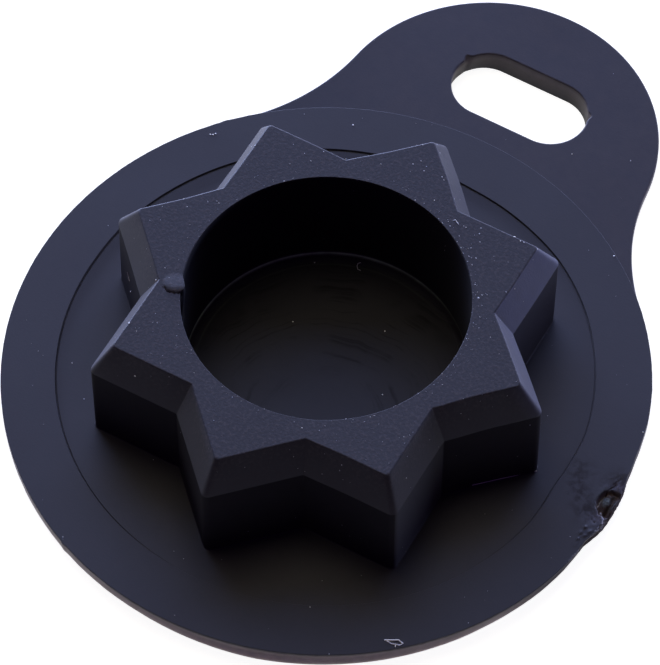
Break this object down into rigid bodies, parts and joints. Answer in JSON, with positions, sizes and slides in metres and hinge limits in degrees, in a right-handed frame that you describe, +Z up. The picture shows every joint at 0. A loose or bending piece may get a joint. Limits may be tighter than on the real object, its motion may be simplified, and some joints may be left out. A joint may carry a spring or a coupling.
{
  "type": "rubber cap",
  "caption": "Moulded rubber blanking cap: round flange with a raised sealing band, a star-shaped plug with a blind bore, and a slotted tab that ties it to a chassis.",
  "frame": {"origin": "centre of the flange's underside, on the bore's axis", "axes": "+Z up along the plug's axis, +Y from the axis along the tab"},
  "size_m": [0.04, 0.0514, 0.01],
  "materials": {
    "black_rubber": "matt moulded rubber"
  },
  "bodies": {
    "root": {"rubber_cap": "black_rubber"}
  },
  "joints": []
}
